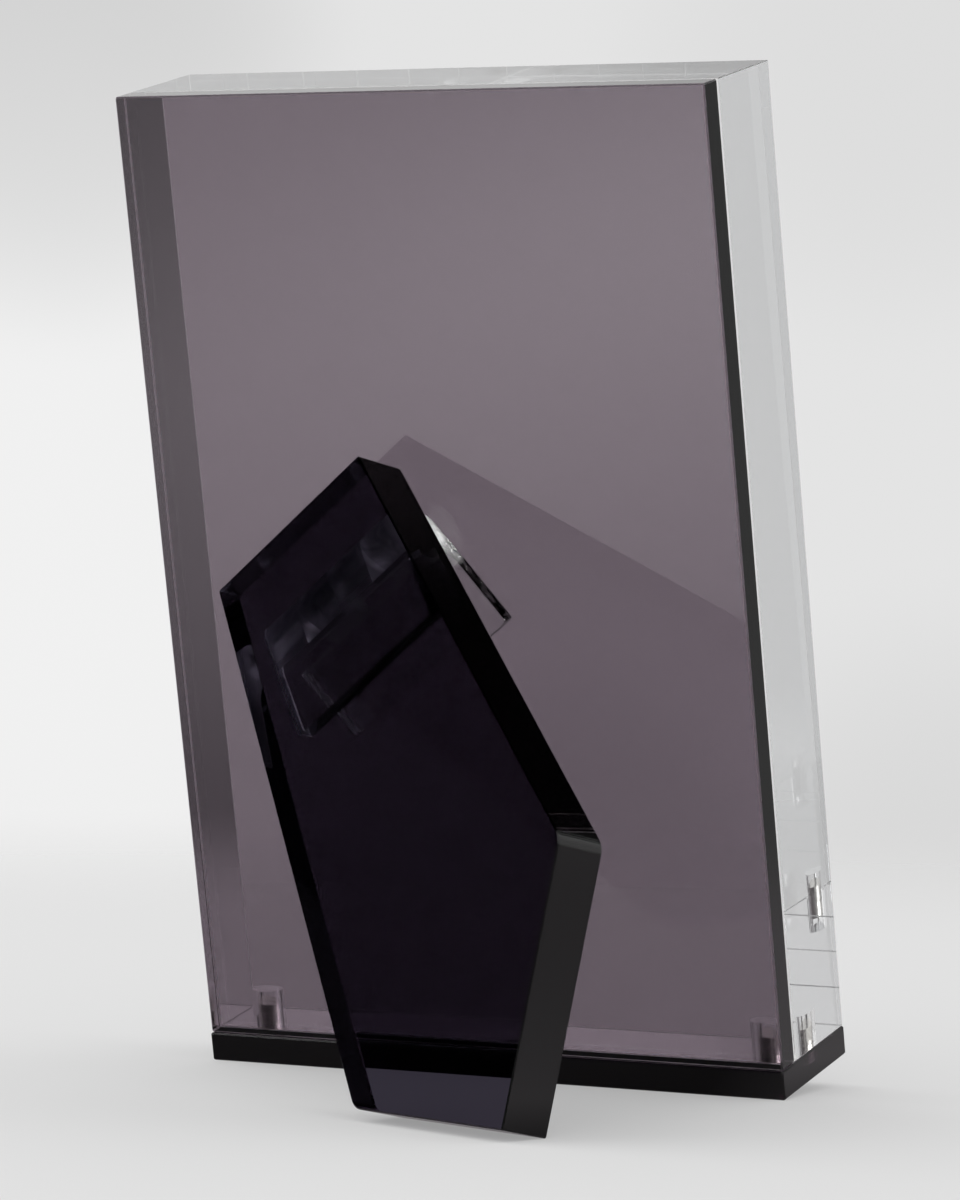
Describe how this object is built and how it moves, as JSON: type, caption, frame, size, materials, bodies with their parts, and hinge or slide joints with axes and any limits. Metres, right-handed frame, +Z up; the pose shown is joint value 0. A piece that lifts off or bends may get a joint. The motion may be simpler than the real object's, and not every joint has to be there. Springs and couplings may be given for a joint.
{
  "type": "acrylic photo frame",
  "caption": "Free-standing acrylic photo frame: a thick clear block held by magnets before a smoked panel, propped up by a dark leg on a diagonal hinge.",
  "frame": {"origin": "on the table, under the middle of the box round the frame and its opened leg", "axes": "+Z up from the table, -Y towards the viewer of the picture, +Y towards the opened leg, +X to that viewer's right"},
  "size_m": [0.1102, 0.099, 0.1724],
  "materials": {
    "smoked_acrylic": "polished, see-through smoke grey",
    "black_acrylic": "polished, near black",
    "clear_acrylic": "polished, clear",
    "dark_acrylic": "polished, very dark smoke",
    "hinge_plastic": "moulded, clear",
    "magnet_nickel": "nickel plated"
  },
  "bodies": {
    "frame": {"back_panel": "smoked_acrylic", "base_bar": "black_acrylic", "base_magnet_left": "magnet_nickel", "base_magnet_right": "magnet_nickel", "hinge_leaf_panel": "hinge_plastic", "hinge_pin": "hinge_plastic"},
    "block": {"front_block": "clear_acrylic", "block_magnet_left": "magnet_nickel", "block_magnet_right": "magnet_nickel"},
    "leg": {"easel_leg": "dark_acrylic", "hinge_leaf_leg": "hinge_plastic"}
  },
  "joints": [
    {"name": "leg_fold", "type": "hinge", "parent": "frame", "child": "leg", "pos_m": [0.01453, -0.00298, 0.08463], "axis": [-0.7782, 0.1342, 0.6135], "range_deg": [0, 31.4]},
    {"name": "block_lift", "type": "slide", "parent": "frame", "child": "block", "axis": [0, 0.2137, 0.9769], "range_m": [0, 0.06]}
  ]
}
